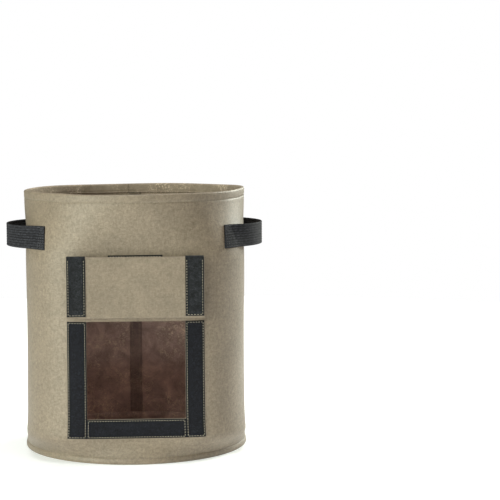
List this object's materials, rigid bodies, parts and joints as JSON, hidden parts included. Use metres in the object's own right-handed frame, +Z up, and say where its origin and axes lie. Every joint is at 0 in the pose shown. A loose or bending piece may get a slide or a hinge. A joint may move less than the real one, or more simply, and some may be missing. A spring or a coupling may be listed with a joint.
{
  "type": "fabric grow bag",
  "caption": "Open-topped felt plant bag with a harvest window, a felt flap that folds up or closes on hook-and-loop tape, and webbing carry handles.",
  "frame": {"origin": "on the ground at the middle of the round base", "axes": "+Z up, the window and its flap face -Y, the handles stick out along -X and +X"},
  "size_m": [0.346, 0.3057, 0.35],
  "materials": {
    "felt": "matte needle-punched felt, warm khaki",
    "felt_lining": "matte needle-punched felt, brown inside face",
    "flap_felt": "matte needle-punched felt, warm khaki",
    "loop_tape": "matte brushed loop tape, near black",
    "hook_tape": "low-sheen hook tape, near black",
    "webbing": "ribbed polypropylene webbing, black, soft sheen",
    "thread": "tan sewing thread",
    "felt_thread": "khaki sewing thread",
    "webbing_thread": "black sewing thread"
  },
  "bodies": {
    "bag": {"wall_panel": "felt", "base_panel": "felt", "rim_hem": "felt_lining", "base_seam_tape": "felt_lining", "back_seam_tape": "felt_lining", "frame_tape_left": "loop_tape", "frame_tape_right": "loop_tape", "frame_tape_bottom": "loop_tape", "frame_stitching": "thread", "hold_open_patch": "hook_tape", "patch_stitching": "thread", "flap_root": "flap_felt", "flap_seam_stitching": "thread", "handle_left_front_end": "webbing", "handle_left_rear_end": "webbing", "handle_left_stitching": "webbing_thread", "handle_right_front_end": "webbing", "handle_right_rear_end": "webbing", "handle_right_stitching": "webbing_thread", "rim_stitching": "felt_thread", "base_stitching": "felt_thread", "back_seam_stitching": "felt_thread"},
    "flap_upper": {"flap_upper_felt": "flap_felt", "flap_upper_tape_left": "hook_tape", "flap_upper_tape_right": "hook_tape", "flap_upper_stitching": "thread"},
    "flap_middle": {"flap_middle_felt": "flap_felt", "flap_middle_tape_left": "hook_tape", "flap_middle_tape_right": "hook_tape", "flap_middle_stitching": "thread"},
    "flap_lower": {"flap_lower_felt": "flap_felt", "flap_lower_tape_left": "hook_tape", "flap_lower_tape_right": "hook_tape", "flap_hem_tape": "hook_tape", "flap_lower_stitching": "thread"},
    "handle_left": {"handle_left_loop": "webbing"},
    "handle_right": {"handle_right_loop": "webbing"}
  },
  "joints": [
    {"name": "flap_hinge", "type": "hinge", "parent": "bag", "child": "flap_upper", "pos_m": [0, -0.1496, 0.1932], "axis": [1, 0, 0], "range_deg": [0, 179.9]},
    {"name": "flap_fold_upper", "type": "hinge", "parent": "flap_upper", "child": "flap_middle", "pos_m": [0, -0.15155, 0.2697], "axis": [1, 0, 0], "range_deg": [0, 180]},
    {"name": "flap_fold_lower", "type": "hinge", "parent": "flap_middle", "child": "flap_lower", "pos_m": [0, -0.14765, 0.2264], "axis": [1, 0, 0], "range_deg": [-180, 0]},
    {"name": "handle_left_swing", "type": "hinge", "parent": "bag", "child": "handle_left", "pos_m": [-0.136, -0.02, 0.292], "axis": [0, 1, 0], "range_deg": [-35, 35], "stiffness_Nm_per_rad": 0.05},
    {"name": "handle_right_swing", "type": "hinge", "parent": "bag", "child": "handle_right", "pos_m": [0.136, -0.02, 0.292], "axis": [0, -1, 0], "range_deg": [-35, 35], "stiffness_Nm_per_rad": 0.05}
  ],
  "couplings": [
    {"joint": "flap_fold_upper", "follows": "flap_hinge", "ratio": 1},
    {"joint": "flap_fold_lower", "follows": "flap_hinge", "ratio": -1}
  ]
}
